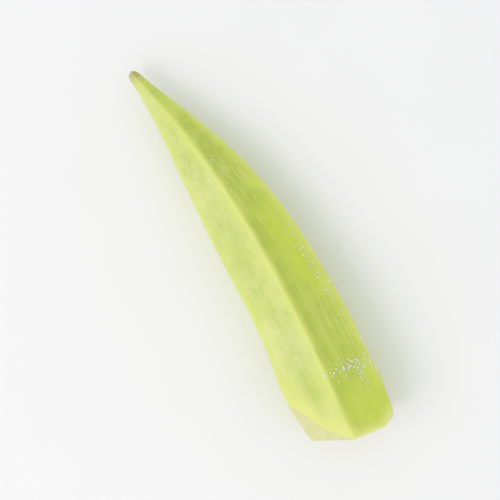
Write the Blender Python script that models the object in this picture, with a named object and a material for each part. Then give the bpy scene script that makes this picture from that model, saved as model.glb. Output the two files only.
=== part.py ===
"""A whole okra pod with its stem and cap cut off, lying on one of its five faces.

The pod grew as one piece, so it is one solid. It runs along X, with the cut end at -X and the tip at +X, and
it rests on the floor plane, z = 0. Every cross-section is a soft pentagon with a raised rib on each corner
and a faint crease down the middle of each face. The pod bends to +Y, and its ribs turn slowly about its
length.

All sizes are metres, and all angles are degrees until they are used. A direction about the axis is measured
from straight up, and is positive towards -Y.
"""

import math

import bmesh
import bpy
from mathutils import Vector

# Size and form of the pod
POD_LENGTH = 0.088
BODY_RADIUS = 0.0096  # from the axis to a corner without its rib, where the pod is widest
CORNERS = 5
HALF_FACE = math.pi / CORNERS  # in radians
BOW = 0.012  # how far the tip lies to one side of the line that the cut end starts on
BOW_POWER = 2.3
TURN = 20.0  # how far the ribs turn towards -Y from the cut end to the tip

# Stations along the pod: distance from the cut in metres, and share of the body radius
PROFILE = (
    (-0.0045, 0.820),
    (-0.0020, 0.920),
    (0.0000, 0.970),
    (0.0015, 0.990),
    (0.0030, 1.000),
    (0.0060, 1.000),
    (0.0110, 0.990),
    (0.0200, 0.990),
    (0.0330, 0.965),
    (0.0440, 0.905),
    (0.0540, 0.800),
    (0.0630, 0.650),
    (0.0710, 0.470),
    (0.0780, 0.300),
    (0.0835, 0.172),
    (0.0880, 0.098),
)
TIP_ROUNDING = 0.0014  # length over which the beak closes in a round end
TIP_FLAT_SHARE = 0.27  # the last ring, so that no triangle there has two equal corners

# Cross-section
FLATNESS = 0.90  # 0 is a circle, 1 is a pentagon
TIP_FLATNESS = 0.35
FLATTEST_FROM = 0.75  # share of the body radius above which the section has its full flatness
ROUNDEST_BELOW = 0.15
CORNER_SOFTNESS = 0.035  # share of the radius over which two faces run into each other
CIRCLE_SHARE = 0.93  # the circle's radius, as a share of the pentagon's corner
RIB_HEIGHT = 0.00048
RIB_WIDTH = 0.00125
CREASE_DEPTH = 0.00022
CREASE_WIDTH = 0.0016
RELIEF_FROM = 0.004  # distance from the cut where the ribs start to rise
RELIEF_FULL = 0.008
TIP_RELIEF = 0.25  # share of the ribs' height that is left where the radius has run out

# One rib that spreads towards the cut end
FLARE_RIB = -1  # the next rib from the upper one, on the +Y side
FLARE_HEIGHT = 0.0018
FLARE_WIDTH = 22.0
FLARE_FULL = 0.006  # distance from the cut up to which it has its full height
FLARE_END = 0.034

# Long waves in the skin: share of the radius, then turns along the length, times round it, and a start
SWELLS = ((0.011, 9.0, 2.0, 0.0), (0.008, 17.0, -3.0, 1.0))
SWELL_FROM = 0.009  # distance from the cut where the waves have their full height

# The knife's cut, and its strokes that pared the rim: direction about the axis, slope to the axis, and start
CUT_LEAN = 4.0  # the upper edge stands out further
CUT_SKEW = 8.0  # the edge at -Y stands out further
STROKES = (
    (-48.0, 16.0, 0.0088),
    (74.0, 50.0, 0.0012),
    (144.0, 45.0, 0.0018),
    (-148.0, 40.0, 0.0020),
)
STROKE_RADIUS = 0.0096  # distance from the axis at which a stroke enters the skin
SNAP = 0.00002  # vertices this near to a cut are moved onto it

# How the pod lies
LEVEL_AT = 0.37  # share of the length where a face lies level, under the pod's weight
LEVEL_SOFTNESS = 3.0
REST_SINK = 0.00038  # how much of the lower ribs the floor has flattened
SHOULDER_AT = 0.07  # share of the length up to which the cut end keeps one height
TIP_LIFT = 0.0042
LIFT_FROM = 0.50

# Mesh density
SIDES = 60  # a multiple of twice the corner count
RINGS = 56
CORNER_CROWDING = 1.35  # above 1, more vertices lie near the ribs

SMOOTH_BELOW = 18.0
SKIN_COLOUR = (0.47, 0.60, 0.13, 1.0)  # linear, a light yellow green
SKIN_ROUGHNESS = 0.42


def smooth_step(low, high, value):
    """0 below low, 1 above high, and smooth between them."""
    share = min(1.0, max(0.0, (value - low) / (high - low)))
    return share * share * (3.0 - 2.0 * share)


def soft_minimum(values, softness):
    """The least of some lengths, rounded off where two of them are nearly the same."""
    least = min(values)
    return least - softness * math.log(sum(math.exp((least - value) / softness) for value in values))


def profile_share(distance):
    """Share of the body radius at a distance from the cut, on a smooth curve through PROFILE."""
    last = len(PROFILE) - 1
    i = 0
    while i < last - 1 and distance > PROFILE[i + 1][0]:
        i += 1
    (x0, y0), (x1, y1) = PROFILE[i], PROFILE[i + 1]
    xa, ya = PROFILE[max(i - 1, 0)]
    xb, yb = PROFILE[min(i + 2, last)]
    slope0 = (y1 - ya) / (x1 - xa)
    slope1 = (yb - y0) / (xb - x0)
    width = x1 - x0
    u = min(1.0, (distance - x0) / width)
    return (
        y0 * (1 + 2 * u) * (1 - u) ** 2
        + slope0 * width * u * (1 - u) ** 2
        + y1 * u * u * (3 - 2 * u)
        + slope1 * width * u * u * (u - 1)
    )


def corner_radius(along):
    """Distance from the axis to a corner, without its rib, at a share of the length."""
    distance = along * POD_LENGTH
    past_rounding = max(0.0, 1 - (POD_LENGTH - distance) / TIP_ROUNDING)
    closing = math.sqrt(max(0.0, 1 - past_rounding**2))
    return BODY_RADIUS * profile_share(distance) * max(closing, TIP_FLAT_SHARE)


def turn_at(along):
    """How far the ribs have turned about the axis, in radians, from where a face lies level."""
    return math.radians(TURN) * (along - LEVEL_AT)


def pentagon_radius(corner, angle):
    """Distance to the sides of a pentagon with soft corners, at an angle measured from one corner."""
    apothem = corner * math.cos(HALF_FACE)
    nearest = math.floor(angle / (2 * HALF_FACE))
    limits = [apothem / math.cos(angle - (2 * (nearest + i) + 1) * HALF_FACE) for i in (-1, 0, 1)]
    return soft_minimum([limit for limit in limits if limit > 0], CORNER_SOFTNESS * corner)


def section_radius(along, angle):
    """Distance from the axis to the skin, at an angle measured from a corner."""
    from_corner = abs((angle + HALF_FACE) % (2 * HALF_FACE) - HALF_FACE)
    from_middle = HALF_FACE - from_corner
    corner = corner_radius(along)
    share = corner / BODY_RADIUS
    distance = along * POD_LENGTH
    flatness = TIP_FLATNESS + (FLATNESS - TIP_FLATNESS) * smooth_step(ROUNDEST_BELOW, FLATTEST_FROM, share)
    radius = flatness * pentagon_radius(corner, angle) + (1 - flatness) * CIRCLE_SHARE * corner
    waves = sum(
        size * math.sin(turns * along + times * angle + start) for size, turns, times, start in SWELLS
    )
    radius *= 1 + waves * smooth_step(0.0, SWELL_FROM, distance)
    relief = smooth_step(RELIEF_FROM, RELIEF_FULL, distance) * (TIP_RELIEF + (1 - TIP_RELIEF) * share)
    rib = RIB_HEIGHT * math.exp(-((from_corner * corner / RIB_WIDTH) ** 2))
    crease = CREASE_DEPTH * math.exp(-((from_middle * corner / CREASE_WIDTH) ** 2))
    from_flare = math.remainder(angle - 2 * FLARE_RIB * HALF_FACE, math.tau) / math.radians(FLARE_WIDTH)
    flare = FLARE_HEIGHT * math.exp(-(from_flare**2)) * (1 - smooth_step(FLARE_FULL, FLARE_END, distance))
    return radius + flare + relief * (rib - crease * share)


def axis_point(along):
    """The middle of the section at a share of the length, held up by the lower of its two bottom ribs."""
    sitting = max(along, SHOULDER_AT)
    softness = math.radians(LEVEL_SOFTNESS)
    rolled = math.hypot(turn_at(sitting), softness) - softness
    height = section_radius(sitting, 0.0) * math.cos(HALF_FACE - rolled) - REST_SINK
    lift = TIP_LIFT * smooth_step(LIFT_FROM, 1.0, along)
    return Vector((POD_LENGTH * along, BOW * max(along, 0.0) ** BOW_POWER, height + lift))


def skin_point(along, angle):
    """The skin at a share of the length and an angle measured from a corner."""
    slope = BOW * BOW_POWER * max(along, 0.0) ** (BOW_POWER - 1) / POD_LENGTH
    left = Vector((-slope, 1.0, 0.0)).normalized()
    direction = angle + turn_at(along)
    outward = Vector((0.0, 0.0, math.cos(direction))) - math.sin(direction) * left
    point = axis_point(along) + section_radius(along, angle) * outward
    point.z = max(point.z, 0.0)
    return point


def knife_planes():
    """A point and an outward normal for each flat that the knife left, the cut itself first."""
    middle = axis_point(0.0)
    skew = math.tan(math.radians(CUT_SKEW))
    lean = math.tan(math.radians(CUT_LEAN))
    planes = [(middle, Vector((-1.0, skew, -lean)).normalized())]
    for direction_degrees, slope_degrees, start in STROKES:
        direction = math.radians(direction_degrees)
        slope = math.radians(slope_degrees)
        outward = Vector((0.0, -math.sin(direction), math.cos(direction)))
        point = middle + Vector((start, 0.0, 0.0)) + STROKE_RADIUS * outward
        planes.append((point, math.cos(slope) * outward - Vector((math.sin(slope), 0.0, 0.0))))
    return planes


def slice_off(bm, point, normal):
    """Takes away what lies outside a plane, and closes the pod with a flat there."""
    whole = bm.verts[:] + bm.edges[:] + bm.faces[:]
    cut = bmesh.ops.bisect_plane(
        bm, geom=whole, dist=SNAP, plane_co=point, plane_no=normal, clear_outer=True
    )
    rim = [item for item in cut["geom_cut"] if isinstance(item, bmesh.types.BMEdge)]
    bmesh.ops.edgeloop_fill(bm, edges=rim)


def crowd_towards_corners(angle):
    """Moves a vertex's angle towards the nearest corner, so that the ribs get most of the vertices."""
    middle = round(angle / (2 * HALF_FACE)) * 2 * HALF_FACE
    share = (angle - middle) / HALF_FACE
    return middle + math.copysign(abs(share) ** CORNER_CROWDING, share) * HALF_FACE


def make_pod_mesh():
    """A cylinder with many rings, whose vertices are moved onto the pod's skin before the knife cuts it."""
    bm = bmesh.new()
    bmesh.ops.create_cone(bm, cap_ends=True, segments=SIDES, radius1=1.0, radius2=1.0, depth=1.0)
    lengthwise = [e for e in bm.edges if e.verts[0].co.z * e.verts[1].co.z < 0]
    bmesh.ops.subdivide_edges(bm, edges=lengthwise, cuts=RINGS - 2)
    first = PROFILE[0][0] / POD_LENGTH
    for vert in bm.verts:
        evenly = min(1.0, max(0.0, vert.co.z + 0.5))
        along = first + (1 - first) * (0.5 - 0.5 * math.cos(math.pi * evenly))
        vert.co = skin_point(along, crowd_towards_corners(math.atan2(vert.co.y, vert.co.x)))
    for point, normal in knife_planes():
        slice_off(bm, point, normal)
    bmesh.ops.recalc_face_normals(bm, faces=bm.faces[:])
    bmesh.ops.triangulate(bm, faces=bm.faces[:])
    mesh = bpy.data.meshes.new("okra_pod")
    bm.to_mesh(mesh)
    bm.free()
    return mesh


def settle_over_origin(mesh):
    """Turns the line from the cut to the tip onto X, and puts the middle of the pod's box over the origin."""
    chord = math.atan2(BOW, POD_LENGTH)
    for vert in mesh.vertices:
        x, y = vert.co.x, vert.co.y
        vert.co.x = x * math.cos(chord) + y * math.sin(chord)
        vert.co.y = y * math.cos(chord) - x * math.sin(chord)
    lows = [min(v.co[i] for v in mesh.vertices) for i in range(3)]
    highs = [max(v.co[i] for v in mesh.vertices) for i in range(3)]
    offset = Vector(((lows[0] + highs[0]) / 2, (lows[1] + highs[1]) / 2, lows[2]))
    for vert in mesh.vertices:
        vert.co -= offset


def make_skin_material():
    """Blanched okra skin: light yellow green, a little glossy."""
    material = bpy.data.materials.new("okra_skin")
    material.use_nodes = True
    shader = material.node_tree.nodes["Principled BSDF"]
    shader.inputs["Base Color"].default_value = SKIN_COLOUR
    shader.inputs["Roughness"].default_value = SKIN_ROUGHNESS
    shader.inputs["Metallic"].default_value = 0.0
    return material


def main():
    """Clears the scene and builds the pod in its own collection."""
    for obj in list(bpy.data.objects):
        bpy.data.objects.remove(obj, do_unlink=True)
    collection = bpy.data.collections.new("okra pod")
    bpy.context.scene.collection.children.link(collection)
    mesh = make_pod_mesh()
    settle_over_origin(mesh)
    mesh.shade_smooth()
    mesh.set_sharp_from_angle(angle=math.radians(SMOOTH_BELOW))
    mesh.materials.append(make_skin_material())
    collection.objects.link(bpy.data.objects.new("okra_pod", mesh))


main()
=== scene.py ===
"""The looks of a frozen okra pod that lies on a pale table.

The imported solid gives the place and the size. A finer skin of the same form stands for it, with the flats
that the knife left, and it carries fine hairs and grains of frost. Lengths are metres unless a name ends in
_mm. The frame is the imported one: the cut end is at -X, the tip at +X, up is +Z, and the pod bends to +Y. A
direction about the pod's axis is measured from straight up, and is positive towards -Y.
"""

import logging
import math
import random
from dataclasses import dataclass, field
from enum import Enum
from functools import lru_cache
from typing import Any

import bmesh
import bpy
from mathutils import Matrix, Vector, noise


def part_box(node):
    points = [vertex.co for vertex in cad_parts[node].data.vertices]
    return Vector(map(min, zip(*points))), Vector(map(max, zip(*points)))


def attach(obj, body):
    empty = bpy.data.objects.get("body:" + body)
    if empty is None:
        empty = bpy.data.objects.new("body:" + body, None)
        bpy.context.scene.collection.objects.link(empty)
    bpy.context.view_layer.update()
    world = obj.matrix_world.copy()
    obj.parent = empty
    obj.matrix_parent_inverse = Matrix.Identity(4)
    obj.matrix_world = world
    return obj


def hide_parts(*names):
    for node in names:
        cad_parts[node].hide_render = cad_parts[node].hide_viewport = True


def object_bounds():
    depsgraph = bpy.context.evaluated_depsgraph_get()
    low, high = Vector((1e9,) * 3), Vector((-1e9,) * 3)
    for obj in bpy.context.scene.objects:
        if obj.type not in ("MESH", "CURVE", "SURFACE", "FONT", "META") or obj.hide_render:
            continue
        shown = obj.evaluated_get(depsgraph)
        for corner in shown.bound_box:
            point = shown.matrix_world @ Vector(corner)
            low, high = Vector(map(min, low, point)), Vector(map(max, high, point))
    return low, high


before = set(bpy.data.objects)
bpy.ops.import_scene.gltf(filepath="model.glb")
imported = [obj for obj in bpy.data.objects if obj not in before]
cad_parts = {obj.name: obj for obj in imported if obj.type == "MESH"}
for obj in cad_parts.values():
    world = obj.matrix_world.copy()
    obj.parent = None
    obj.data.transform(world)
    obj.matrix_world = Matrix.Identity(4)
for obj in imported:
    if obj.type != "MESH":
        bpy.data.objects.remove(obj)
CAD_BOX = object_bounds()

NODE = "okra_pod"
BODY = "root"
MM = 0.001
UP = Vector((0.0, 0.0, 1.0))

# Sockets of a Mix node that mixes colours
FACTOR = 0
FIRST = 6
SECOND = 7
MIXED = 2

FRACTAL = (1.0, 2.0, 3)  # of layered noise: how fast the layers fade, how much finer each is, and how many
SECTION_DIGITS = 4  # shares of the length are rounded, so that a section worked out once is used again
RING_DIGITS = 6
GRAIN_CORNERS = 12  # of a ball with twenty faces

log = logging.getLogger("okra")


class Layer(str, Enum):
    """What the pod's mesh tells its materials at each vertex."""

    STRAIGHT = "straight_mm"  # the place on the pod, as if it were neither bent nor turned
    RIB = "rib"
    # painted shade: down the middle of each face, and past the upper rib on its -Y side
    PAINTED_SHADE = "groove"
    WET = "wet"
    # frost film, thicker on the lit +Y side: partly frost, partly painted light
    FROST_AND_PAINTED_LIGHT = "frost"
    # painted highlight along the knife's edges
    EDGE_HIGHLIGHT = "rim"
    TIP = "tip"


class Surface(int, Enum):
    """The pod mesh's material slots."""

    SKIN = 0
    FLESH = 1


def smooth_step(low: float, high: float, value: float) -> float:
    """0 below low, 1 above high, and smooth between them."""
    share = min(1.0, max(0.0, (value - low) / (high - low)))
    return share * share * (3.0 - 2.0 * share)


def bell(distance: float, width: float) -> float:
    """1 where distance is 0, falling off smoothly over width."""
    return math.exp(-((distance / width) ** 2))


def soft_minimum(values: list[float], softness: float) -> float:
    """The least of some lengths, rounded off where two of them are nearly the same."""
    least = min(values)
    return least - softness * math.log(sum(math.exp((least - value) / softness) for value in values))


def linear(hex_colour: str) -> tuple[float, float, float, float]:
    """Turns an sRGB hex colour into linear light.

    Args:
        hex_colour: Six hex digits after a #.

    Returns:
        Red, green, blue and an alpha of 1.
    """
    channels = [int(hex_colour[i : i + 2], 16) / 255 for i in (1, 3, 5)]
    red, green, blue = [c / 12.92 if c <= 0.04045 else ((c + 0.055) / 1.055) ** 2.4 for c in channels]
    return (red, green, blue, 1.0)


def add_node(tree: bpy.types.NodeTree, kind: str, inputs: dict[Any, Any], **settings: Any) -> bpy.types.Node:
    """Adds one node with its settings, and sets or links its inputs.

    Args:
        tree: The node tree.
        kind: The node's type.
        inputs: Socket name or number, and the value or the output socket that goes into it.
        settings: The node's own properties.

    Returns:
        The new node.
    """
    node = tree.nodes.new(kind)
    for name, value in settings.items():
        setattr(node, name, value)
    set_inputs(tree, node, inputs)
    return node


def set_inputs(tree: bpy.types.NodeTree, node: bpy.types.Node, inputs: dict[Any, Any]) -> None:
    """Sets or links a node's inputs.

    Args:
        tree: The node tree.
        node: The node.
        inputs: Socket name or number, and the value or the output socket that goes into it.
    """
    for name, value in inputs.items():
        if isinstance(value, bpy.types.NodeSocket):
            tree.links.new(value, node.inputs[name])
        else:
            node.inputs[name].default_value = value


def new_material(name: str) -> tuple[bpy.types.Material, bpy.types.NodeTree, bpy.types.Node]:
    """Makes a material.

    Args:
        name: Its name.

    Returns:
        The material, its node tree and its Principled shader.
    """
    material = bpy.data.materials.new(name)
    material.use_nodes = True
    return material, material.node_tree, material.node_tree.nodes["Principled BSDF"]


@dataclass
class Swarm:
    """Many small bodies in one mesh, made in batches, because each one is quick only in a small mesh."""

    batch_size: int = 1500  # vertices
    whole: bmesh.types.BMesh = field(default_factory=bmesh.new)
    batch: bmesh.types.BMesh = field(default_factory=bmesh.new)

    def empty_batch(self) -> None:
        """Moves the bodies of the batch into the whole mesh."""
        mesh = bpy.data.meshes.new("batch")
        self.batch.to_mesh(mesh)
        self.whole.from_mesh(mesh)
        bpy.data.meshes.remove(mesh)
        self.batch.clear()

    def open_batch(self) -> bmesh.types.BMesh:
        """The mesh that the next body goes into."""
        if len(self.batch.verts) > self.batch_size:
            self.empty_batch()
        return self.batch

    def finished(self) -> bmesh.types.BMesh:
        """All the bodies, in one mesh."""
        self.empty_batch()
        self.batch.free()
        return self.whole


def add_piece(name: str, bm: bmesh.types.BMesh, materials: list[bpy.types.Material]) -> bpy.types.Object:
    """Links a mesh as a piece of the pod that moves with its body.

    Args:
        name: The piece's name.
        bm: Its mesh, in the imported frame. It is freed.
        materials: Its materials, in the order of their slots.

    Returns:
        The new object, at the origin.
    """
    mesh = bpy.data.meshes.new(name)
    bm.to_mesh(mesh)
    bm.free()
    for material in materials:
        mesh.materials.append(material)
    piece = bpy.data.objects.new(name, mesh)
    bpy.context.scene.collection.objects.link(piece)
    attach(piece, BODY)
    triangles = sum(len(polygon.vertices) - 2 for polygon in mesh.polygons)
    log.info("%s: %d triangles", name, triangles)
    return piece


@dataclass(frozen=True, eq=False)
class PodForm:
    """The pod's form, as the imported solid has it, before it is set down over the origin."""

    length: float = 0.088
    body_radius: float = 0.0096  # from the axis to a corner without its rib, where the pod is widest
    corners: int = 5
    bow: float = 0.012  # how far the tip lies to one side of the line that the cut end starts on
    bow_power: float = 2.3
    turn: float = 20.0  # degrees that the ribs turn towards -Y from the cut end to the tip
    # Distance from the cut, and share of the body radius
    profile: tuple[tuple[float, float], ...] = (
        (-0.0045, 0.820),
        (-0.0020, 0.920),
        (0.0000, 0.970),
        (0.0015, 0.990),
        (0.0030, 1.000),
        (0.0060, 1.000),
        (0.0110, 0.990),
        (0.0200, 0.990),
        (0.0330, 0.965),
        (0.0440, 0.905),
        (0.0540, 0.800),
        (0.0630, 0.650),
        (0.0710, 0.470),
        (0.0780, 0.300),
        (0.0835, 0.172),
        (0.0880, 0.098),
    )
    tip_rounding: float = 0.0014  # length over which the beak closes in a round end
    tip_flat_share: float = 0.27
    flatness: float = 0.90  # 0 is a circle, 1 is a pentagon
    tip_flatness: float = 0.35
    flattest_from: float = 0.75  # share of the body radius above which the section has its full flatness
    roundest_below: float = 0.15
    corner_softness: float = 0.035
    circle_share: float = 0.93
    rib_height: float = 0.00048
    rib_width: float = 0.00125
    crease_depth: float = 0.00022
    crease_width: float = 0.0016
    relief_from: float = 0.004  # distance from the cut where the ribs start to rise
    relief_full: float = 0.008
    tip_relief: float = 0.25
    flare_rib: int = -1  # the rib that spreads towards the cut end, next to the upper one on the +Y side
    flare_height: float = 0.0018
    flare_width: float = 22.0
    flare_full: float = 0.006  # distance from the cut up to which it has its full height
    flare_end: float = 0.034
    # Share of the radius, then turns along the length, times round it, and a start
    swells: tuple[tuple[float, float, float, float], ...] = ((0.011, 9.0, 2.0, 0.0), (0.008, 17.0, -3.0, 1.0))
    swell_from: float = 0.009
    cut_lean: float = 4.0
    cut_skew: float = 8.0
    # The knife's strokes that pared the rim: direction about the axis, slope to the axis, and start
    strokes: tuple[tuple[float, float, float], ...] = (
        (-48.0, 16.0, 0.0088),
        (74.0, 50.0, 0.0012),
        (144.0, 45.0, 0.0018),
        (-148.0, 40.0, 0.0020),
    )
    stroke_radius: float = 0.0096
    level_at: float = 0.37  # share of the length where a face lies level
    level_softness: float = 3.0
    rest_sink: float = 0.00038  # how much of the lower ribs the floor has flattened
    shoulder_at: float = 0.07
    tip_lift: float = 0.0042
    lift_from: float = 0.50

    @property
    def half_face(self) -> float:
        """Half of the angle that one face takes, in radians."""
        return math.pi / self.corners

    @property
    def first_along(self) -> float:
        """The share of the length where the uncut pod starts, in front of the cut."""
        return self.profile[0][0] / self.length

    def profile_share(self, distance: float) -> float:
        """Share of the body radius on a smooth curve through the profile.

        Args:
            distance: Distance from the cut.

        Returns:
            The share, about 0.1 to 1.
        """
        last = len(self.profile) - 1
        i = 0
        while i < last - 1 and distance > self.profile[i + 1][0]:
            i += 1
        (x0, y0), (x1, y1) = self.profile[i], self.profile[i + 1]
        xa, ya = self.profile[max(i - 1, 0)]
        xb, yb = self.profile[min(i + 2, last)]
        slope0 = (y1 - ya) / (x1 - xa)
        slope1 = (yb - y0) / (xb - x0)
        width = x1 - x0
        u = min(1.0, (distance - x0) / width)
        return (
            y0 * (1 + 2 * u) * (1 - u) ** 2
            + slope0 * width * u * (1 - u) ** 2
            + y1 * u * u * (3 - 2 * u)
            + slope1 * width * u * u * (u - 1)
        )

    @lru_cache(maxsize=None)
    def corner_radius(self, along: float) -> float:
        """Distance from the axis to a corner, without its rib.

        Args:
            along: Share of the length.

        Returns:
            The distance.
        """
        distance = along * self.length
        past_rounding = max(0.0, 1 - (self.length - distance) / self.tip_rounding)
        closing = math.sqrt(max(0.0, 1 - past_rounding**2))
        return self.body_radius * self.profile_share(distance) * max(closing, self.tip_flat_share)

    def turn_at(self, along: float) -> float:
        """How far the ribs have turned about the axis, in radians, from where a face lies level."""
        return math.radians(self.turn) * (along - self.level_at)

    def from_corner(self, angle: float) -> float:
        """The angle to the nearest corner, in radians, from 0 to half a face."""
        return abs((angle + self.half_face) % (2 * self.half_face) - self.half_face)

    def pentagon_radius(self, corner: float, angle: float) -> float:
        """Distance to the sides of a pentagon with soft corners.

        Args:
            corner: Distance from the axis to a corner.
            angle: Angle from one corner, in radians.

        Returns:
            The distance from the axis.
        """
        apothem = corner * math.cos(self.half_face)
        nearest = math.floor(angle / (2 * self.half_face))
        limits = [
            apothem / math.cos(angle - (2 * (nearest + i) + 1) * self.half_face) for i in (-1, 0, 1)
        ]
        return soft_minimum([limit for limit in limits if limit > 0], self.corner_softness * corner)

    def section_radius(self, along: float, angle: float) -> float:
        """Distance from the axis to the skin.

        Args:
            along: Share of the length.
            angle: Angle from the first corner, in radians.

        Returns:
            The distance.
        """
        corner = self.corner_radius(along)
        share = corner / self.body_radius
        distance = along * self.length
        from_corner = self.from_corner(angle)
        from_middle = self.half_face - from_corner
        flatness = self.tip_flatness + (self.flatness - self.tip_flatness) * smooth_step(
            self.roundest_below, self.flattest_from, share
        )
        radius = flatness * self.pentagon_radius(corner, angle) + (1 - flatness) * self.circle_share * corner
        waves = sum(
            size * math.sin(turns * along + times * angle + start)
            for size, turns, times, start in self.swells
        )
        radius *= 1 + waves * smooth_step(0.0, self.swell_from, distance)
        relief = smooth_step(self.relief_from, self.relief_full, distance)
        relief *= self.tip_relief + (1 - self.tip_relief) * share
        rib = self.rib_height * bell(from_corner * corner, self.rib_width)
        crease = self.crease_depth * bell(from_middle * corner, self.crease_width)
        from_flare = math.remainder(angle - 2 * self.flare_rib * self.half_face, math.tau)
        flare = self.flare_height * bell(from_flare, math.radians(self.flare_width))
        flare *= 1 - smooth_step(self.flare_full, self.flare_end, distance)
        return radius + flare + relief * (rib - crease * share)

    @lru_cache(maxsize=None)
    def axis_point(self, along: float) -> Vector:
        """The middle of a section, held up by the lower of its two bottom ribs.

        Args:
            along: Share of the length.

        Returns:
            The point. It is kept for the next call, so it isn't changed in place.
        """
        sitting = max(along, self.shoulder_at)
        softness = math.radians(self.level_softness)
        rolled = math.hypot(self.turn_at(sitting), softness) - softness
        height = self.section_radius(sitting, 0.0) * math.cos(self.half_face - rolled) - self.rest_sink
        lift = self.tip_lift * smooth_step(self.lift_from, 1.0, along)
        return Vector((self.length * along, self.bow * max(along, 0.0) ** self.bow_power, height + lift))

    @lru_cache(maxsize=None)
    def sideways(self, along: float) -> Vector:
        """The level direction square to the axis, on the +Y side, at a share of the length."""
        slope = self.bow * self.bow_power * max(along, 0.0) ** (self.bow_power - 1) / self.length
        return Vector((-slope, 1.0, 0.0)).normalized()

    def outward(self, along: float, angle: float) -> Vector:
        """The direction square to the axis, at a share of the length and an angle from the first corner."""
        direction = angle + self.turn_at(along)
        return math.cos(direction) * UP - math.sin(direction) * self.sideways(along)

    def straight_place(self, point: Vector) -> Vector:
        """Where a point of the pod would be if the pod were neither bent nor turned.

        Args:
            point: A point on or in the pod.

        Returns:
            Distance from the cut, then sideways and upwards from the axis.
        """
        along = round(point.x / self.length, SECTION_DIGITS)
        offset = point - self.axis_point(along)
        level = offset.dot(self.sideways(along))
        angle = math.atan2(-level, offset.z) - self.turn_at(along)
        radius = math.hypot(level, offset.z)
        return Vector((point.x, -radius * math.sin(angle), radius * math.cos(angle)))

    @lru_cache(maxsize=None)
    def knife_planes(self) -> list[tuple[Vector, Vector]]:
        """A point and an outward normal for each flat that the knife left, the cut itself first."""
        middle = self.axis_point(0.0)
        skew = math.tan(math.radians(self.cut_skew))
        lean = math.tan(math.radians(self.cut_lean))
        planes = [(middle, Vector((-1.0, skew, -lean)).normalized())]
        for direction_degrees, slope_degrees, start in self.strokes:
            direction = math.radians(direction_degrees)
            slope = math.radians(slope_degrees)
            outward = Vector((0.0, -math.sin(direction), math.cos(direction)))
            point = middle + Vector((start, 0.0, 0.0)) + self.stroke_radius * outward
            planes.append((point, math.cos(slope) * outward - Vector((math.sin(slope), 0.0, 0.0))))
        return planes


@dataclass(frozen=True)
class SeedBulge:
    """One seed that lifts the skin over it: its place, in metres and radians, and how far."""

    distance: float
    angle: float
    height: float


@dataclass
class SkinRelief:
    """The fine relief of the skin: seeds that show through, shallow dents, fibres and pores."""

    form: PodForm
    seed: int = 11
    seed_spacing: float = 0.0048
    seed_rows_from: float = 0.013
    seed_rows_to: float = 0.066
    seed_row_angle: float = 14.0  # degrees either side of a rib
    seed_row_scatter: float = 3.0  # degrees
    seed_height: float = 0.00013
    flattest_seed: float = 0.25  # share of the seed height
    seed_radius: float = 0.0017
    seed_reach: float = 0.0050  # beyond it a seed lifts nothing
    seed_scatter: float = 0.0009
    dent_depth: float = 0.00016
    dent_size: float = 0.0075
    fibre_height: float = 0.000022
    fibre_width: float = 0.0006
    fibre_length: float = 0.011
    pore_height: float = 0.000014
    pore_size: float = 0.0005
    bulges: dict[int, list[SeedBulge]] = field(default_factory=dict)

    def __post_init__(self) -> None:
        """Places the seeds, in two rows behind each rib."""
        chance = random.Random(self.seed)
        for corner in range(self.form.corners):
            for side in (-1, 1):
                row = 2 * corner * self.form.half_face + side * math.radians(self.seed_row_angle)
                distance = self.seed_rows_from + chance.uniform(0.0, self.seed_spacing)
                while distance < self.seed_rows_to:
                    place = distance + chance.uniform(-1.0, 1.0) * self.seed_scatter
                    angle = row + math.radians(chance.uniform(-1.0, 1.0) * self.seed_row_scatter)
                    height = self.seed_height * chance.uniform(self.flattest_seed, 1.0)
                    self.bulges.setdefault(self.stretch(place), []).append(SeedBulge(place, angle, height))
                    distance += self.seed_spacing

    def stretch(self, distance: float) -> int:
        """The number of the stretch, one seed spacing long, at a distance from the cut."""
        return math.floor(distance / self.seed_spacing)

    def seed_lift(self, distance: float, angle: float, radius: float) -> float:
        """How far the seeds lift the skin.

        Args:
            distance: Distance from the cut.
            angle: Angle from the first corner, in radians.
            radius: Distance from the axis.

        Returns:
            The height.
        """
        here = self.stretch(distance)
        lift = 0.0
        for stretch in (here - 1, here, here + 1):
            for bulge in self.bulges.get(stretch, ()):
                across = math.remainder(angle - bulge.angle, math.tau) * radius
                if abs(across) < self.seed_reach:
                    away = math.hypot(distance - bulge.distance, across)
                    lift += bulge.height * bell(away, self.seed_radius)
        return lift

    def height(self, along: float, angle: float, radius: float) -> float:
        """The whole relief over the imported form.

        Args:
            along: Share of the pod's length.
            angle: Angle from the first corner, in radians.
            radius: Distance from the axis.

        Returns:
            The height, outwards.
        """
        distance = along * self.form.length
        place = Vector((distance, -radius * math.sin(angle), radius * math.cos(angle)))
        fine = Vector((distance / self.fibre_length, place.y / self.fibre_width, place.z / self.fibre_width))
        dents = self.dent_depth * noise.noise(place / self.dent_size)
        fibres = self.fibre_height * noise.noise(fine)
        pores = self.pore_height * noise.noise(place / self.pore_size)
        share = min(1.0, radius / self.form.body_radius)
        return share * (self.seed_lift(distance, angle, radius) + dents + fibres + pores)


@dataclass(frozen=True)
class BarePatch:
    """A stretch of skin that the frost film has left bare, so that it shows wet and deep in colour."""

    distance: float
    direction: float  # degrees about the axis
    half_length: float
    half_width: float


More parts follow.
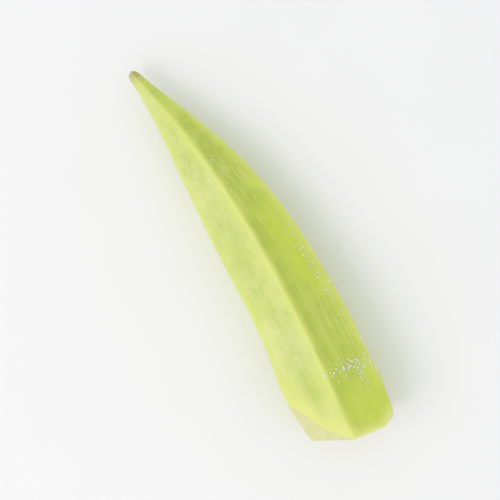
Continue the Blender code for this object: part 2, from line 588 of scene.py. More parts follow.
@dataclass
class PodBody:
    """The pod's skin and the flats that the knife left, as one closed mesh."""

    form: PodForm
    relief: SkinRelief
    sides: int = 180  # a multiple of twice the corner count
    rings: int = 310
    corner_crowding: float = 1.25
    end_crowding: float = 0.3
    snap: float = 0.00002
    flat_grid: float = 0.0006
    same_plane: float = 0.999  # cosine between the normals of two faces of one flat
    edge_weld: float = 0.00008  # the knife leaves slivers thinner than this at its edges
    edge_rounding_passes: int = 3
    edge_rounding: float = 0.5
    knife_mark: float = 0.000035
    knife_mark_spacing: float = 0.0009
    knife_mark_length: float = 0.012
    pith_radius: float = 0.0024
    pith_sink: float = 0.00022
    rib_line: float = 0.00115
    rib_line_from: float = 0.004
    rib_line_full: float = 0.012
    rib_line_noise: float = 0.45
    rib_line_patch: float = 0.0045
    rib_fade: tuple[float, float] = (0.15, 0.50)  # shares of the body radius between which it fades in
    rib_bareness: float = 0.5  # share of the frost film that a rib has lost
    # Painted shade down the middle of each face, where the crease is
    crease_shade_width: float = 0.0022
    painted_shade_fade: tuple[float, float] = (0.25, 0.70)
    rib_shade_at: float = 0.0020  # painted shade past the upper rib on its -Y side: where it is deepest
    rib_shade_width: float = 0.0015
    narrowed_rib_line: float = 0.55  # share of the rib line's width on that side, narrowed there as painted shade
    # How much the painted shade past the upper rib keeps out the colour of bare wet skin
    rib_shade_dryness: float = 0.5
    # Width of the painted highlight along the knife's edges
    rim_highlight_width: float = 0.0014
    tip_from: float = 0.955
    bare_patches: tuple[BarePatch, ...] = (
        BarePatch(0.0060, 42.0, 0.0080, 0.0060),
        BarePatch(0.0420, 48.0, 0.0120, 0.0046),
    )
    patch_edge: tuple[float, float] = (0.5, 1.3)  # shares of a patch's half size between which it ends
    patch_edge_noise: float = 0.45
    patch_edge_size: float = 0.0040
    frost_least: float = 0.03
    frost_and_light_lean: float = 0.30  # how much more of the film lies on the lit +Y side: partly frost, partly painted light
    frost_and_shade_step: float = 0.10  # sine of the angle over which it changes at the upper rib, a step that paints the edge of the shade there
    frost_and_shade_step_below: float = 0.25
    frost_drift: float = 0.15
    frost_drift_size: float = 0.011
    frost_drift_least: float = 0.3  # share of the drift that is left on the shaded -Y side
    offset: Vector = field(default_factory=Vector)

    def crowded(self, angle: float) -> float:
        """Moves an angle towards the nearest corner, so that the ribs get most of the vertices."""
        middle = round(angle / (2 * self.form.half_face)) * 2 * self.form.half_face
        share = (angle - middle) / self.form.half_face
        return middle + math.copysign(abs(share) ** self.corner_crowding, share) * self.form.half_face

    def skin_point(self, along: float, angle: float) -> Vector:
        """The finished skin, with its fine relief, before the pod is set down.

        Args:
            along: Share of the length.
            angle: Angle from the first corner, in radians.

        Returns:
            The point.
        """
        radius = self.form.section_radius(along, angle)
        radius += self.relief.height(along, angle, radius)
        point = self.form.axis_point(along) + radius * self.form.outward(along, angle)
        point.z = max(point.z, 0.0)
        return point

    def turned(self, vector: Vector) -> Vector:
        """Turns the line from the cut to the tip onto X."""
        return Matrix.Rotation(-math.atan2(self.form.bow, self.form.length), 3, "Z") @ vector

    def settled(self, point: Vector) -> Vector:
        """Where a point of the form goes when the pod is set down over the origin."""
        return self.turned(point) - self.offset

    def depth_below_cuts(self, point: Vector) -> float:
        """How far a point of the form lies inside the nearest of the knife's planes."""
        return min((place - point).dot(normal) for place, normal in self.form.knife_planes())

    def shape_skin(self, bm: bmesh.types.BMesh) -> None:
        """Makes a cylinder with many rings and moves its vertices onto the skin.

        Args:
            bm: An empty mesh.
        """
        bmesh.ops.create_cone(bm, cap_ends=True, segments=self.sides, radius1=1.0, radius2=1.0, depth=1.0)
        lengthwise = [edge for edge in bm.edges if edge.verts[0].co.z * edge.verts[1].co.z < 0]
        bmesh.ops.subdivide_edges(bm, edges=lengthwise, cuts=self.rings - 2)
        first = self.form.first_along
        for vert in bm.verts:
            evenly = min(1.0, max(0.0, vert.co.z + 0.5))
            eased = 0.5 - 0.5 * math.cos(math.pi * evenly)
            share = (1 - self.end_crowding) * evenly + self.end_crowding * eased
            along = round(first + (1 - first) * share, RING_DIGITS)
            vert.co = self.skin_point(along, self.crowded(math.atan2(vert.co.y, vert.co.x)))
        for face in bm.faces:
            face.smooth = True

    def slice_off(self, bm: bmesh.types.BMesh, point: Vector, normal: Vector) -> None:
        """Takes away what lies outside a plane and closes the pod with a flat of flesh there.

        Args:
            bm: The pod's mesh.
            point: A point on the plane.
            normal: The plane's outward normal.
        """
        whole = bm.verts[:] + bm.edges[:] + bm.faces[:]
        cut = bmesh.ops.bisect_plane(
            bm, geom=whole, dist=self.snap, plane_co=point, plane_no=normal, clear_outer=True
        )
        rim = [item for item in cut["geom_cut"] if isinstance(item, bmesh.types.BMEdge)]
        bmesh.ops.edgeloop_fill(bm, edges=rim, mat_nr=Surface.FLESH.value, use_smooth=True)

    def split_at(self, bm: bmesh.types.BMesh, faces: set, point: Vector, normal: Vector) -> set:
        """Splits those of some faces that a plane crosses.

        Args:
            bm: The pod's mesh.
            faces: The faces.
            point: A point on the plane.
            normal: The plane's normal.

        Returns:
            The faces, with the new ones.
        """
        crossed = set()
        for face in faces:
            heights = [(vert.co - point).dot(normal) for vert in face.verts]
            if min(heights) < -self.snap and max(heights) > self.snap:
                crossed.add(face)
        if not crossed:
            return faces
        edges = {edge for face in crossed for edge in face.edges}
        verts = {vert for face in crossed for vert in face.verts}
        made = bmesh.ops.bisect_plane(
            bm, geom=[*verts, *edges, *crossed], dist=self.snap, plane_co=point, plane_no=normal
        )
        new = {item for item in made["geom"] if isinstance(item, bmesh.types.BMFace)}
        return {face for face in faces | new if face.is_valid}

    def grid_flat(self, bm: bmesh.types.BMesh, normal: Vector) -> None:
        """Splits one flat into a fine grid, so that it can have relief.

        Args:
            bm: The pod's mesh.
            normal: The flat's outward normal.
        """
        flat = {
            face
            for face in bm.faces
            if face.material_index == Surface.FLESH.value and face.normal.dot(normal) > self.same_plane
        }
        across = normal.cross(UP).normalized()
        for direction in (across, normal.cross(across)):
            places = [vert.co.dot(direction) / self.flat_grid for face in flat for vert in face.verts]
            for step in range(math.ceil(min(places)), math.ceil(max(places))):
                flat = self.split_at(bm, flat, direction * step * self.flat_grid, direction)

    def round_knife_edges(self, bm: bmesh.types.BMesh) -> None:
        """Takes the sharpness off the knife's edges, as ice and wear do.

        Args:
            bm: The pod's mesh.
        """
        edges = [
            edge
            for edge in bm.edges
            if len(edge.link_faces) == 2
            and Surface.FLESH.value in {face.material_index for face in edge.link_faces}
            and edge.link_faces[0].normal.dot(edge.link_faces[1].normal) < self.same_plane
        ]
        near = {vert for edge in edges for vert in edge.verts}
        near |= {edge.other_vert(vert) for vert in near for edge in vert.link_edges}
        bmesh.ops.remove_doubles(bm, verts=list(near), dist=self.edge_weld)
        near = {vert for vert in near if vert.is_valid}
        for _ in range(self.edge_rounding_passes):
            bmesh.ops.smooth_vert(
                bm,
                verts=list(near),
                factor=self.edge_rounding,
                use_axis_x=True,
                use_axis_y=True,
                use_axis_z=True,
            )

    def texture_flats(self, bm: bmesh.types.BMesh) -> None:
        """Gives the flats the knife's fine marks, and lets the pith sink a little.

        Args:
            bm: The pod's mesh.
        """
        for vert in bm.verts:
            if any(face.material_index != Surface.FLESH.value for face in vert.link_faces):
                continue
            straight = self.form.straight_place(vert.co)
            normal = vert.normal
            across = normal.cross(UP).normalized()
            mark = Vector(
                (
                    vert.co.dot(across) / self.knife_mark_length,
                    vert.co.dot(normal.cross(across)) / self.knife_mark_spacing,
                    0.0,
                )
            )
            sink = self.pith_sink * bell(math.hypot(straight.y, straight.z), self.pith_radius)
            vert.co += normal * (self.knife_mark * noise.noise(mark) - sink)

    def wetness(self, straight: Vector, along: float, angle: float, radius: float) -> float:
        """How bare of frost and wet the skin is.

        Args:
            straight: The place on the straightened pod.
            along: Share of the length.
            angle: Angle from the first corner, in radians.
            radius: Distance from the axis.

        Returns:
            The share, 0 to 1.
        """
        direction = angle + self.form.turn_at(along)
        ragged = self.patch_edge_noise * noise.fractal(straight / self.patch_edge_size, *FRACTAL)
        wet = 0.0
        for patch in self.bare_patches:
            around = math.remainder(direction - math.radians(patch.direction), math.tau) * radius
            reach = math.hypot((straight.x - patch.distance) / patch.half_length, around / patch.half_width)
            wet = max(wet, 1.0 - smooth_step(*self.patch_edge, reach + ragged))
        return wet

    def frost_film_and_painted_light(self, straight: Vector, angle: float) -> float:
        """How thickly the film of frost lies, where nothing has left the skin bare; it lies thicker on the
        lit +Y side, partly as painted light.

        Args:
            straight: The place on the straightened pod.
            angle: Angle from the first corner, in radians.

        Returns:
            The share, 0 to 1.
        """
        # The film is thicker on the lit +Y side, partly as painted light, and changes sharply at the upper
        # rib where the shade starts
        softness = self.frost_and_shade_step + self.frost_and_shade_step_below * (1.0 - math.cos(angle))
        side = smooth_step(-softness, softness, -math.sin(angle))
        drift = self.frost_drift * noise.fractal(straight / self.frost_drift_size, *FRACTAL)
        drift *= self.frost_drift_least + (1.0 - self.frost_drift_least) * side
        return min(1.0, max(0.0, self.frost_least + self.frost_and_light_lean * side + drift))

    def marks(self, point: Vector, straight: Vector) -> dict[Layer, float]:
        """What the materials are told of one place.

        Args:
            point: The place, before the pod is set down.
            straight: The same place on the straightened pod.

        Returns:
            Each mark's strength, 0 to about 1.
        """
        along = straight.x / self.form.length
        angle = math.atan2(-straight.y, straight.z)
        radius = math.hypot(straight.y, straight.z)
        share = self.form.corner_radius(round(along, SECTION_DIGITS)) / self.form.body_radius
        wet = self.wetness(straight, along, angle, radius)
        from_corner = self.form.from_corner(angle)
        uneven = 1.0 + self.rib_line_noise * noise.noise(straight / self.rib_line_patch)
        # The pale rib line is narrower on the upper rib's -Y side, as painted shade
        line = self.rib_line * uneven * (self.narrowed_rib_line if 0.0 < angle < self.form.half_face else 1.0)
        rib = bell(from_corner * radius, line) * smooth_step(*self.rib_fade, share) * uneven
        # Painted shade just past the upper rib on its -Y side
        rib_shade = bell(angle * radius - self.rib_shade_at, self.rib_shade_width)
        # Painted shade down the middle of each face, joined with the painted shade past the upper rib
        groove = max(rib_shade, bell((self.form.half_face - from_corner) * radius, self.crease_shade_width))
        # Painted highlight along the knife's edges, where light catches the rim; the frost film is kept off
        # it too
        rim = bell(self.depth_below_cuts(point), self.rim_highlight_width)
        covered = (1.0 - wet) * (1.0 - rim) * (1.0 - self.rib_bareness * rib)
        return {
            Layer.RIB: rib * smooth_step(self.rib_line_from, self.rib_line_full, straight.x),
            Layer.PAINTED_SHADE: groove * smooth_step(*self.painted_shade_fade, share),
            # bare wet skin's colour is kept out of that painted shade
            Layer.WET: wet * (1.0 - self.rib_shade_dryness * rib_shade),
            Layer.FROST_AND_PAINTED_LIGHT: self.frost_film_and_painted_light(straight, angle) * covered,
            Layer.EDGE_HIGHLIGHT: rim,
            Layer.TIP: smooth_step(self.tip_from, 1.0, along),
        }

    def tell_materials(self, bm: bmesh.types.BMesh) -> None:
        """Writes each vertex's place and marks for the materials.

        Args:
            bm: The pod's mesh, before it is set down.
        """
        layers = {layer: bm.verts.layers.float.new(layer.value) for layer in Layer if layer != Layer.STRAIGHT}
        place_layer = bm.verts.layers.float_vector.new(Layer.STRAIGHT.value)
        for vert in bm.verts:
            straight = self.form.straight_place(vert.co)
            vert[place_layer] = straight / MM
            for layer, strength in self.marks(vert.co, straight).items():
                vert[layers[layer]] = strength

    def set_down(self, bm: bmesh.types.BMesh) -> None:
        """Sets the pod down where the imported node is.

        Args:
            bm: The pod's mesh.
        """
        low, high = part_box(NODE)
        for vert in bm.verts:
            vert.co = self.turned(vert.co)
        lows = Vector([min(vert.co[i] for vert in bm.verts) for i in range(3)])
        highs = Vector([max(vert.co[i] for vert in bm.verts) for i in range(3)])
        self.offset = (lows + highs) / 2 - (low + high) / 2
        self.offset.z = lows.z - low.z
        for vert in bm.verts:
            vert.co -= self.offset
        excess = [round(length / MM, 3) for length in highs - lows - high + low]
        log.info("longer, wider and higher than the node by %s mm", excess)

    def build(self, skin: bpy.types.Material, flesh: bpy.types.Material) -> bpy.types.Object:
        """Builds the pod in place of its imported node.

        Args:
            skin: The skin's material.
            flesh: The material of the flats.

        Returns:
            The piece.
        """
        bm = bmesh.new()
        self.shape_skin(bm)
        for point, normal in self.form.knife_planes():
            self.slice_off(bm, point, normal)
        bmesh.ops.recalc_face_normals(bm, faces=bm.faces[:])
        for _, normal in self.form.knife_planes():
            self.grid_flat(bm, normal)
        self.round_knife_edges(bm)
        bm.normal_update()
        self.texture_flats(bm)
        self.tell_materials(bm)
        self.set_down(bm)
        bmesh.ops.triangulate(bm, faces=[face for face in bm.faces if len(face.verts) > 4])
        bm.normal_update()
        piece = add_piece("pod_skin", bm, [skin, flesh])
        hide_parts(NODE)
        return piece


@dataclass
class SkinHairs:
    """The pod's fine, short hairs, which stand most on the ribs and lean towards the tip."""

    body: PodBody
    seed: int = 23
    count: int = 1700
    sides: int = 3
    rib_share: float = 0.55
    rib_spread: float = 0.0006
    shortest: float = 0.00030
    longest: float = 0.00062
    root_radius: float = 0.000026
    root_sink: float = 0.00006
    lean: float = 48.0
    scatter: float = 0.35
    clear_of_floor: float = 0.0009
    clear_of_cuts: float = 0.0006
    first: float = 0.01
    last: float = 0.985

    def build(self, material: bpy.types.Material) -> bpy.types.Object:
        """Builds the hairs as one piece.

        Args:
            material: Their material.

        Returns:
            The piece.
        """
        chance = random.Random(self.seed)
        swarm = Swarm()
        for _ in range(self.count):
            self.add_hair(swarm.open_batch(), chance)
        return add_piece("skin_hairs", swarm.finished(), [material])

    def add_hair(self, bm: bmesh.types.BMesh, chance: random.Random) -> None:
        """Adds one hair, unless its place is near the floor or was cut away.

        Args:
            bm: The mesh of the hairs.
            chance: The random draws.
        """
        form = self.body.form
        along = round(chance.uniform(self.first, self.last), SECTION_DIGITS)
        on_rib = chance.random() < self.rib_share
        corner = 2 * form.half_face * chance.randrange(form.corners)
        spread = chance.gauss(0.0, self.rib_spread) / form.corner_radius(along)
        angle = corner + spread if on_rib else chance.uniform(-math.pi, math.pi)
        length = chance.uniform(self.shortest, self.longest)
        stray = Vector([chance.uniform(-1.0, 1.0) * self.scatter for _ in range(3)])
        root = self.body.skin_point(along, angle)
        if root.z < self.clear_of_floor or self.body.depth_below_cuts(root) < self.clear_of_cuts:
            return
        ahead = form.sideways(along).cross(UP)
        lean = math.radians(self.lean)
        heading = math.cos(lean) * form.outward(along, angle) + math.sin(lean) * ahead + stray
        heading = self.body.turned(heading.normalized())
        middle = self.body.settled(root) + heading * (length / 2 - self.root_sink)
        matrix = Matrix.Translation(middle) @ heading.to_track_quat("Z", "Y").to_matrix().to_4x4()
        bmesh.ops.create_cone(
            bm,
            cap_ends=True,
            segments=self.sides,
            radius1=self.root_radius,
            radius2=0.0,
            depth=length,
            matrix=matrix,
        )


@dataclass(frozen=True)
class FrostCluster:
    """A place where grains of frost have gathered, and how they lie in it."""

    distance: float
    direction: float  # degrees about the axis
    spread_along: float
    spread_around: float
    count: int
    largest: float


@dataclass
class FrostGrains:
    """Grains of ice that sit on the skin, in clusters and thinly all over."""

    body: PodBody
    seed: int = 37
    clusters: tuple[FrostCluster, ...] = (
        FrostCluster(0.0133, 34.0, 0.0006, 0.0030, 90, 0.00058),
        FrostCluster(0.0122, 62.0, 0.0010, 0.0020, 60, 0.00052),
        FrostCluster(0.0105, 40.0, 0.0030, 0.0022, 60, 0.00036),
        FrostCluster(0.0092, 46.0, 0.0020, 0.0006, 64, 0.00040),
        FrostCluster(0.0280, 64.0, 0.0090, 0.0007, 80, 0.00050),
        FrostCluster(0.0400, 62.0, 0.0050, 0.0008, 50, 0.00050),
        FrostCluster(0.0440, -70.0, 0.0040, 0.0012, 50, 0.00052),
        FrostCluster(0.0300, -84.0, 0.0090, 0.0012, 40, 0.00045),
        FrostCluster(0.0590, 12.0, 0.0060, 0.0040, 30, 0.00045),
        FrostCluster(0.0350, 170.0, 0.0200, 0.0060, 40, 0.00045),
    )
    scattered: int = 220
    scattered_largest: float = 0.00038
    smallest: float = 0.00015
    rime: int = 2000
    rime_smallest: float = 0.00008
    rime_largest: float = 0.00019
    rime_moved: float = 0.5  # share of the rime that is taken from the -Y side to the +Y side
    small_bias: float = 2.2  # above 1, more grains are small
    sink: float = 0.30  # share of a grain that is in the skin
    raggedness: float = 0.42
    flattest: float = 0.50
    clear_of_floor: float = 0.0007
    first: float = -0.005
    last: float = 0.99

    def build(self, material: bpy.types.Material) -> bpy.types.Object:
        """Builds all grains as one piece.

        Args:
            material: Their material.

        Returns:
            The piece.
        """
        chance = random.Random(self.seed)
        swarm = Swarm()
        for cluster in self.clusters:
            for _ in range(cluster.count):
                distance = cluster.distance + chance.gauss(0.0, cluster.spread_along)
                along = distance / self.body.form.length
                around = chance.gauss(0.0, cluster.spread_around) / self.body.form.body_radius
                angle = math.radians(cluster.direction) + around - self.body.form.turn_at(along)
                self.add_grain(swarm.open_batch(), chance, along, angle, self.smallest, cluster.largest)
        for _ in range(self.scattered):
            along = chance.uniform(self.first, self.last)
            angle = chance.uniform(-math.pi, math.pi)
            self.add_grain(swarm.open_batch(), chance, along, angle, self.smallest, self.scattered_largest)
        for _ in range(self.rime):
            along = chance.uniform(self.first, self.last)
            angle = self.rime_angle(chance, along)
            self.add_grain(swarm.open_batch(), chance, along, angle, self.rime_smallest, self.rime_largest)
        return add_piece("frost_grains", swarm.finished(), [material])

    def rime_angle(self, chance: random.Random, along: float) -> float:
        """An angle for a grain of rime, of which more lie on the +Y side.

        Args:
            chance: The random draws.
            along: Share of the pod's length.

        Returns:
            The angle from the first corner, in radians.
        """
        direction = chance.uniform(-math.pi, math.pi)
        if math.sin(direction) > 0 and chance.random() < self.rime_moved:
            direction = -direction
        return direction - self.body.form.turn_at(along)

    def add_grain(
        self,
        bm: bmesh.types.BMesh,
        chance: random.Random,
        along: float,
        angle: float,
        smallest: float,
        largest: float,
    ) -> None:
        """Adds one ragged grain, unless its place is near the floor or was cut away.

        Args:
            bm: The mesh of the grains.
            chance: The random draws.
            along: Share of the pod's length.
            angle: Angle from the first corner, in radians.
            smallest: The least size.
            largest: The greatest size.
        """
        size = smallest + (largest - smallest) * chance.random() ** self.small_bias
        flatness = chance.uniform(self.flattest, 1.0)
        twist_angle = chance.uniform(0.0, math.tau)
        twist = Matrix.Rotation(twist_angle, 4, Vector([chance.gauss(0.0, 1.0) for _ in range(3)]))
        ragged = [1.0 + self.raggedness * chance.uniform(-1.0, 1.0) for _ in range(GRAIN_CORNERS)]
        along = round(along, SECTION_DIGITS)
        seat = self.body.skin_point(along, angle)
        if seat.z < self.clear_of_floor or self.body.depth_below_cuts(seat) < 0.0:
            return
        outward = self.body.turned(self.body.form.outward(along, angle))
        middle = self.body.settled(seat) + outward * size * (0.5 - self.sink) * flatness
        turn = outward.to_track_quat("Z", "Y").to_matrix().to_4x4()
        grain = bmesh.ops.create_icosphere(bm, subdivisions=1, radius=size / 2)["verts"]
        for vert, share in zip(grain, ragged):
            vert.co *= share
        squeeze = Matrix.Diagonal((1.0, 1.0, flatness, 1.0))
        bmesh.ops.transform(bm, matrix=Matrix.Translation(middle) @ turn @ squeeze @ twist, verts=grain)


@dataclass(frozen=True)
class BlanchedSkin:
    """Okra skin, blanched and quick-frozen: waxy and half translucent, with a thin film of frost over it."""

    face: str = "#ccd95b"
    # Deeper green, for the random mottle and for painted shade
    mottle_and_shade_green: str = "#b6c947"
    rib: str = "#d8e174"
    wet: str = "#cddd4e"
    # Painted highlight along the knife's edges
    rim: str = "#e4e788"
    tip: str = "#aaa257"
    fibre: str = "#dde38a"
    speck: str = "#8d9040"
    frost: str = "#f0f1bd"
    mottle_mm: float = 5.5
    fibre_width_mm: float = 0.55
    fibre_length_mm: float = 13.0
    speck_spacing_mm: float = 3.4
    speck_radius_mm: float = 0.22
    pore_mm: float = 0.42
    frost_patch_mm: float = 2.6
    frost_grain_mm: float = 0.42  # coarser than life, so that it shows
    # Low and high value of a noise, and what each of them turns into
    mottle_range: tuple[float, ...] = (0.38, 0.64, 0.0, 0.60)
    fibre_range: tuple[float, ...] = (0.46, 0.72, 0.0, 0.38)
    frost_patch_range: tuple[float, ...] = (0.35, 0.65, 0.82, 1.15)
    frost_grain_range: tuple[float, ...] = (0.36, 0.64, 0.82, 1.12)
    # How much of its colour a mark gives at its strongest
    # the painted shade's share, on top of the mottle
    painted_shade_share: float = 0.65
    wet_share: float = 0.75
    rib_share: float = 0.95
    speck_share: float = 0.60
    bare_roughness: float = 0.30
    frost_roughness: float = 0.85
    bump_strength: float = 0.8
    fibre_bump: float = 0.00003
    frost_bump: float = 0.00007
    scatter_depth: float = 0.0011

    def material(self) -> bpy.types.Material:
        """Makes the skin's material."""
        material, tree, shader = new_material("okra_skin_blanched_and_frozen")
        told = {
            layer: add_node(tree, "ShaderNodeAttribute", {}, attribute_name=layer.value) for layer in Layer
        }
        marks = {layer: node.outputs["Fac"] for layer, node in told.items()}
        place = told[Layer.STRAIGHT].outputs["Vector"]
        stretch = (1 / self.fibre_length_mm, 1 / self.fibre_width_mm, 1 / self.fibre_width_mm)
        stretched = add_node(tree, "ShaderNodeMapping", {"Vector": place, "Scale": stretch}).outputs[0]
        cells = add_node(tree, "ShaderNodeTexVoronoi", {"Vector": place, "Scale": 1 / self.speck_spacing_mm})
        mottle, fibres, drift, grains, pores = [
            add_node(tree, "ShaderNodeTexNoise", {"Vector": at, "Scale": scale, "Detail": detail}).outputs[0]
            for at, scale, detail in (
                (place, 1 / self.mottle_mm, 4.0),
                (stretched, 1.0, 3.0),
                (place, 1 / self.frost_patch_mm, 5.0),
                (place, 1 / self.frost_grain_mm, 3.0),
                (place, 1 / self.pore_mm, 2.0),
            )
        ]
        speck_edge = self.speck_radius_mm / self.speck_spacing_mm
        mottled, fibrous, specked, drifts, grainy = [
            add_node(
                tree,
                "ShaderNodeMapRange",
                {"Value": value, "From Min": low, "From Max": high, "To Min": first, "To Max": last},
                interpolation_type=curve,
            ).outputs[0]
            for value, (low, high, first, last), curve in (
                (mottle, self.mottle_range, "SMOOTHSTEP"),
                (fibres, self.fibre_range, "SMOOTHSTEP"),
                (cells.outputs["Distance"], (speck_edge / 2, speck_edge, self.speck_share, 0.0), "LINEAR"),
                (drift, self.frost_patch_range, "LINEAR"),
                (grains, self.frost_grain_range, "SMOOTHSTEP"),
            )
        ]
        # Random mottle, deepened further by painted shade
        mottled_and_shaded = add_node(
            tree,
            "ShaderNodeMath",
            {0: marks[Layer.PAINTED_SHADE], 1: self.painted_shade_share, 2: mottled},
            operation="MULTIPLY_ADD",
            use_clamp=True,
        ).outputs[0]
        wetted, ribbed, patchy = [
            add_node(tree, "ShaderNodeMath", {0: mark, 1: share}, operation="MULTIPLY").outputs[0]
            for mark, share in (
                (marks[Layer.WET], self.wet_share),
                (marks[Layer.RIB], self.rib_share),
                (marks[Layer.FROST_AND_PAINTED_LIGHT], drifts),
            )
        ]
        # The frost film, thicker on the lit +Y side, partly as painted light
        film = add_node(tree, "ShaderNodeMath", {0: patchy, 1: grainy}, operation="MULTIPLY").outputs[0]

        # From the bottom up: uneven green, with painted shade down the middle of each face and past the upper
        # rib on its -Y side, paler fibres along the pod, the deeper colour of bare wet skin, the pale ribs, a
        # painted highlight along the knife's edges, the dry tip, a few brownish specks, and the film of frost
        # in soft patches of fine grains, thicker on the lit +Y side, partly as painted light
        colour = linear(self.face)
        for share, over in (
            (mottled_and_shaded, self.mottle_and_shade_green),
            (fibrous, self.fibre),
            (wetted, self.wet),
            (ribbed, self.rib),
            (marks[Layer.EDGE_HIGHLIGHT], self.rim),
            (marks[Layer.TIP], self.tip),
            (specked, self.speck),
            (film, self.frost),
        ):
            mix = add_node(
                tree, "ShaderNodeMix", {FACTOR: share, FIRST: colour, SECOND: linear(over)}, data_type="RGBA"
            )
            colour = mix.outputs[MIXED]

        # Frost is rough and wet skin is smooth
        roughness = add_node(
            tree,
            "ShaderNodeMapRange",
            {"Value": film, "To Min": self.bare_roughness, "To Max": self.frost_roughness},
        )
        uneven = add_node(tree, "ShaderNodeMath", {0: fibres, 1: pores}, operation="ADD").outputs[0]
        bump = {"Strength": self.bump_strength}
        for height, distance in ((uneven, self.fibre_bump), (film, self.frost_bump)):
            bumped = add_node(tree, "ShaderNodeBump", {**bump, "Distance": distance, "Height": height})
            bump["Normal"] = bumped.outputs[0]
        set_inputs(
            tree,
            shader,
            {
                "Base Color": colour,
                "Roughness": roughness.outputs[0],
                "Normal": bump["Normal"],
                "IOR": 1.40,
                "Subsurface Weight": 0.35,
                "Subsurface Radius": (1.0, 0.9, 0.35),
                "Subsurface Scale": self.scatter_depth,
                "Coat Weight": 0.12,
                "Coat Roughness": 0.22,
            },
        )
        return material


@dataclass(frozen=True)
class CutFlesh:
    """Okra flesh, cut with a knife before freezing: pale, fibrous and a little translucent."""

    flesh: str = "#dcdba2"
    cortex: str = "#dad99a"
    ring: str = "#bfcd72"
    pith: str = "#e6e4b6"
    fibre: str = "#e9e6bd"
    wander_scale: float = 0.45  # waves to a millimetre
    wander_mm: float = 1.6  # how far the rings of colour stray
    cortex_from_mm: float = 6.2
    cortex_to_mm: float = 8.2
    ring_radius_mm: float = 4.1
    ring_width_mm: float = 0.9
    ring_share: float = 0.5
    pith_from_mm: float = 1.44
    pith_to_mm: float = 2.4
    pith_share: float = 0.9
    fibre_width_mm: float = 0.35
    fibre_length_mm: float = 4.0
    # Low and high value of the noise, and what they turn into
    fibre_range: tuple[float, ...] = (0.45, 0.75, 0.0, 0.70)
    bump_strength: float = 0.9
    fibre_bump: float = 0.00004
    scatter_depth: float = 0.0016

    def material(self) -> bpy.types.Material:
        """Makes the flesh's material."""
        material, tree, shader = new_material("okra_flesh_knife_cut")
        told = add_node(tree, "ShaderNodeAttribute", {}, attribute_name=Layer.STRAIGHT.value)
        place = told.outputs["Vector"]
        section = add_node(tree, "ShaderNodeVectorMath", {0: place, 1: (0.0, 1.0, 1.0)}, operation="MULTIPLY")
        radius = add_node(tree, "ShaderNodeVectorMath", {0: section.outputs[0]}, operation="LENGTH")
        stretch = (1 / self.fibre_length_mm, 1 / self.fibre_width_mm, 1 / self.fibre_width_mm)
        stretched = add_node(tree, "ShaderNodeMapping", {"Vector": place, "Scale": stretch}).outputs[0]
        wander, fibres = [
            add_node(tree, "ShaderNodeTexNoise", {"Vector": at, "Scale": scale, "Detail": 3.0}).outputs[0]
            for at, scale in ((place, self.wander_scale), (stretched, 1.0))
        ]
        wandering = add_node(
            tree,
            "ShaderNodeMath",
            {0: wander, 1: self.wander_mm, 2: radius.outputs["Value"]},
            operation="MULTIPLY_ADD",
        )
        centred = {0: wandering.outputs[0], 1: self.wander_mm / 2}
        reach = add_node(tree, "ShaderNodeMath", centred, operation="SUBTRACT").outputs[0]
        from_ring = add_node(tree, "ShaderNodeMath", {0: reach, 1: self.ring_radius_mm}, operation="SUBTRACT")
        gap = add_node(tree, "ShaderNodeMath", {0: from_ring.outputs[0]}, operation="ABSOLUTE").outputs[0]
        outer, ring, inner, fibrous = [
            add_node(
                tree,
                "ShaderNodeMapRange",
                {"Value": value, "From Min": low, "From Max": high, "To Min": first, "To Max": last},
                interpolation_type="SMOOTHSTEP",
            ).outputs[0]
            for value, (low, high, first, last) in (
                (reach, (self.cortex_from_mm, self.cortex_to_mm, 0.0, 1.0)),
                (gap, (0.0, self.ring_width_mm, self.ring_share, 0.0)),
                (reach, (self.pith_from_mm, self.pith_to_mm, self.pith_share, 0.0)),
                (fibres, self.fibre_range),
            )
        ]

        # From the bottom up: green towards the skin, a greener ring of vessels, the pith inside it, and pale
        # fibres, seen end on in the cut and lengthwise in the pared slopes
        colour = linear(self.flesh)
        for share, over in (
            (outer, self.cortex),
            (ring, self.ring),
            (inner, self.pith),
            (fibrous, self.fibre),
        ):
            mix = add_node(
                tree, "ShaderNodeMix", {FACTOR: share, FIRST: colour, SECOND: linear(over)}, data_type="RGBA"
            )
            colour = mix.outputs[MIXED]
        relief = {"Strength": self.bump_strength, "Distance": self.fibre_bump, "Height": fibres}
        set_inputs(
            tree,
            shader,
            {
                "Base Color": colour,
                "Roughness": 0.45,
                "Normal": add_node(tree, "ShaderNodeBump", relief).outputs[0],
                "IOR": 1.38,
                "Subsurface Weight": 0.45,
                "Subsurface Radius": (1.0, 0.95, 0.5),
                "Subsurface Scale": self.scatter_depth,
            },
        )
        return material


@dataclass(frozen=True)
class MottledFinish:
    """A plain finish in soft patches of two near shades."""

    name: str
    first: str
    second: str
    patch_mm: float
    shading: dict[str, Any]  # values for the shader's own sockets

    def material(self) -> bpy.types.Material:
        """Makes the finish's material."""
        material, tree, shader = new_material(self.name)
        place = add_node(tree, "ShaderNodeTexCoord", {}).outputs["Object"]
        patches = add_node(tree, "ShaderNodeTexNoise", {"Vector": place, "Scale": 1 / (self.patch_mm * MM)})
        colour = add_node(
            tree,
            "ShaderNodeMix",
            {FACTOR: patches.outputs[0], FIRST: linear(self.first), SECOND: linear(self.second)},
            data_type="RGBA",
        )
        set_inputs(tree, shader, {"Base Color": colour.outputs[MIXED], **self.shading})
        return material


# Hoar ice, grown from the pod's own moisture: its many small facets scatter light, so it is white; the
# yellow-green tint of both shades is painted light, the skin's green seen through the ice
HOAR_ICE = MottledFinish(
    name="hoar_ice_grains",
    first="#f8f9dc",
    second="#e8edb9",
    patch_mm=0.35,
    shading={
        "Roughness": 0.22,
        "IOR": 1.31,
        "Subsurface Weight": 0.5,
        "Subsurface Radius": (1.0, 1.0, 0.9),
        "Subsurface Scale": 0.0004,
        "Coat Weight": 0.6,
        "Coat Roughness": 0.05,
    },
)

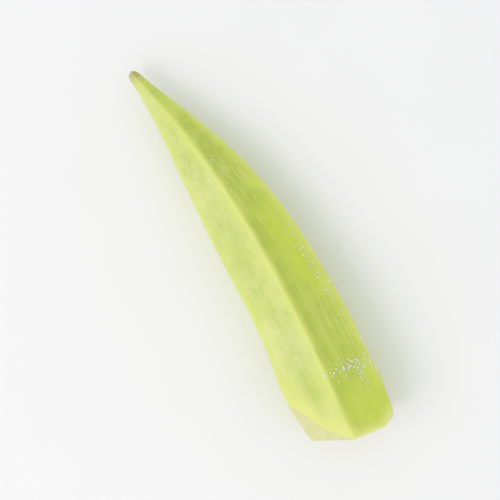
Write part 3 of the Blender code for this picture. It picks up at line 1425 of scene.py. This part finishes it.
# Plant hairs, clear and stiff with frost: they show as a pale down along the ribs
FROSTED_HAIRS = MottledFinish(
    name="okra_hairs_frosted",
    first="#c9d887",
    second="#f0f3da",
    patch_mm=3.0,
    shading={"Roughness": 0.5, "Sheen Weight": 0.2},
)

# Matt white card, the table under the pod: even and very slightly mottled
WHITE_CARD = MottledFinish(
    name="white_card_matt",
    first="#f6f6f6",
    second="#f2f2f2",
    patch_mm=30.0,
    shading={"Roughness": 0.9},
)


@dataclass(frozen=True)
class Studio:
    """A pale table, soft light and the camera, which looks almost straight down."""

    table_side: float = 3.0
    table_drop: float = 0.00003
    table_squares: int = 8
    sky: str = "#fbfcff"
    sky_strength: float = 0.89
    key_power: float = 0.80
    key_size: float = 0.45
    key_reach: float = 0.62
    key_direction: float = 88.0  # degrees from +X towards +Y
    key_height: float = 54.0
    key_colour: str = "#fffaf0"
    pod_heading: float = -4.8  # degrees from +X, where the cut end's half of the pod points
    picture_heading: float = 118.0  # degrees from the picture's right, where it points there
    camera_lean: float = 5.3  # degrees from straight down, with the camera on the -Y side
    lens_mm: float = 100.0
    sensor_mm: float = 36.0
    picture_side: float = 0.104  # how much the picture shows at the pod
    nearest: float = 0.01
    furthest: float = 10.0

    def build(self, card: bpy.types.Material) -> None:
        """Builds the whole studio.

        Args:
            card: The table's material.
        """
        self.lay_table(card)
        self.light_sky()
        self.hang_key_light()
        self.place_camera()

    def lay_table(self, card: bpy.types.Material) -> None:
        """Lays the pale table under the pod.

        Args:
            card: Its material.
        """
        bm = bmesh.new()
        squares = self.table_squares
        bmesh.ops.create_grid(bm, x_segments=squares, y_segments=squares, size=self.table_side / 2)
        bmesh.ops.translate(bm, vec=-self.table_drop * UP, verts=bm.verts[:])
        mesh = bpy.data.meshes.new("table")
        bm.to_mesh(mesh)
        bm.free()
        mesh.materials.append(card)
        table = bpy.data.objects.new("table", mesh)
        bpy.context.scene.collection.objects.link(table)

    def light_sky(self) -> None:
        """Lights the pod evenly from all round."""
        world = bpy.data.worlds.new("studio_sky")
        world.use_nodes = True
        background = world.node_tree.nodes["Background"]
        background.inputs["Color"].default_value = linear(self.sky)
        background.inputs["Strength"].default_value = self.sky_strength
        bpy.context.scene.world = world
        bpy.context.scene.view_settings.view_transform = "Standard"

    def hang_key_light(self) -> None:
        """Hangs one large soft lamp on the pod's +Y side."""
        turn = math.radians(self.key_direction)
        height = math.radians(self.key_height)
        level = Vector((math.cos(turn), math.sin(turn), 0.0))
        towards = math.cos(height) * level + math.sin(height) * UP
        lamp = bpy.data.lights.new("key_light", "AREA")
        lamp.shape = "DISK"
        lamp.size = self.key_size
        lamp.energy = self.key_power
        lamp.color = linear(self.key_colour)[:3]
        holder = bpy.data.objects.new("key_light", lamp)
        holder.location = towards * self.key_reach
        holder.rotation_mode = "QUATERNION"
        holder.rotation_quaternion = towards.to_track_quat("Z", "Y")
        bpy.context.scene.collection.objects.link(holder)

    def place_camera(self) -> None:
        """Places the camera over the pod, turned so that the pod lies as in the picture."""
        low, high = CAD_BOX
        target = (low + high) / 2
        heading = math.radians(self.pod_heading)
        lean = math.radians(self.camera_lean)
        beside = Vector((math.sin(heading), -math.cos(heading), 0.0))
        back = math.cos(lean) * UP + math.sin(lean) * beside
        turn = math.radians(self.pod_heading - self.picture_heading)
        right = Vector((math.cos(turn), math.sin(turn), 0.0))
        right = (right - right.dot(back) * back).normalized()
        above = back.cross(right)
        camera = bpy.data.cameras.new("camera")
        camera.lens = self.lens_mm
        camera.sensor_width = self.sensor_mm
        camera.clip_start = self.nearest
        camera.clip_end = self.furthest
        holder = bpy.data.objects.new("camera", camera)
        distance = self.picture_side * self.lens_mm / self.sensor_mm
        turned = Matrix((right, above, back)).transposed().to_4x4()
        holder.matrix_world = Matrix.Translation(target + distance * back) @ turned
        bpy.context.scene.collection.objects.link(holder)
        bpy.context.scene.camera = holder


def main() -> None:
    """Builds the pod's pieces in order, and then the studio."""
    logging.basicConfig(level=logging.INFO, format="%(name)s: %(message)s")
    form = PodForm()
    body = PodBody(form, SkinRelief(form))
    body.build(BlanchedSkin().material(), CutFlesh().material())
    SkinHairs(body).build(FROSTED_HAIRS.material())
    FrostGrains(body).build(HOAR_ICE.material())
    Studio().build(WHITE_CARD.material())


if __name__ == "__main__":
    main()
